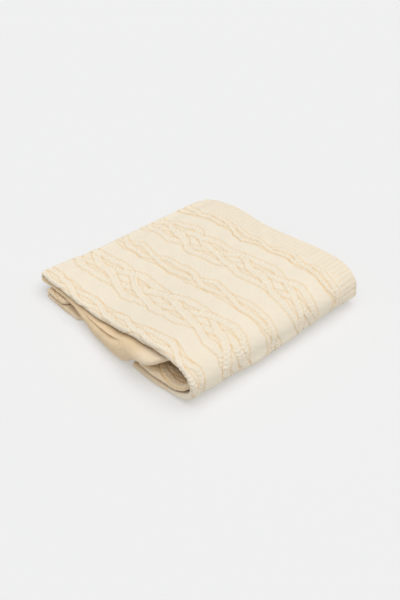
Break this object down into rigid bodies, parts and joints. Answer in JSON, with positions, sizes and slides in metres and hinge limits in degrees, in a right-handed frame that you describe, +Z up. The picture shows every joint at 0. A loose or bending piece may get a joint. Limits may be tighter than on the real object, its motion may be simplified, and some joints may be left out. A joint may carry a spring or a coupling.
{
  "type": "folded throw blanket",
  "caption": "Cream cable-knit cotton throw with ribbed borders, folded into a soft square stack with a round fold on one side.",
  "frame": {"origin": "middle of the stack's footprint, on the surface it rests on", "axes": "+Z up; +X to the round fold, the cables run along X; -Y to the front edge with the rolled folds; +Y to the ribbed border's edge"},
  "size_m": [0.431, 0.421, 0.078],
  "materials": {
    "cable_knit": "matte cotton cable knit, warm cream",
    "rib_knit": "matte cotton rib knit, warm cream"
  },
  "bodies": {
    "lower_half": {"bottom_panel": "cable_knit", "bottom_side_border": "rib_knit", "bottom_inner_border": "rib_knit", "outer_turn_panel": "cable_knit", "outer_turn_side_border": "rib_knit", "outer_turn_inner_border": "rib_knit", "inner_turn_panel": "cable_knit", "inner_turn_side_border": "rib_knit", "inner_turn_inner_border": "rib_knit", "third_panel": "cable_knit", "third_side_border": "rib_knit", "third_inner_border": "rib_knit", "bottom_end_border": "rib_knit", "third_end_border": "rib_knit"},
    "upper_half": {"top_panel": "cable_knit", "top_side_border": "rib_knit", "top_inner_border": "rib_knit", "end_turn_panel": "cable_knit", "end_turn_side_border": "rib_knit", "end_turn_inner_border": "rib_knit", "second_panel": "cable_knit", "second_side_border": "rib_knit", "second_inner_border": "rib_knit"}
  },
  "joints": [
    {"name": "unfold", "type": "hinge", "parent": "lower_half", "child": "upper_half", "pos_m": [0.2155, 0, 0.039], "axis": [0, 1, 0], "range_deg": [0, 180], "deforming": ["outer_turn_panel", "outer_turn_side_border", "outer_turn_inner_border", "inner_turn_panel", "inner_turn_side_border", "inner_turn_inner_border"]}
  ]
}
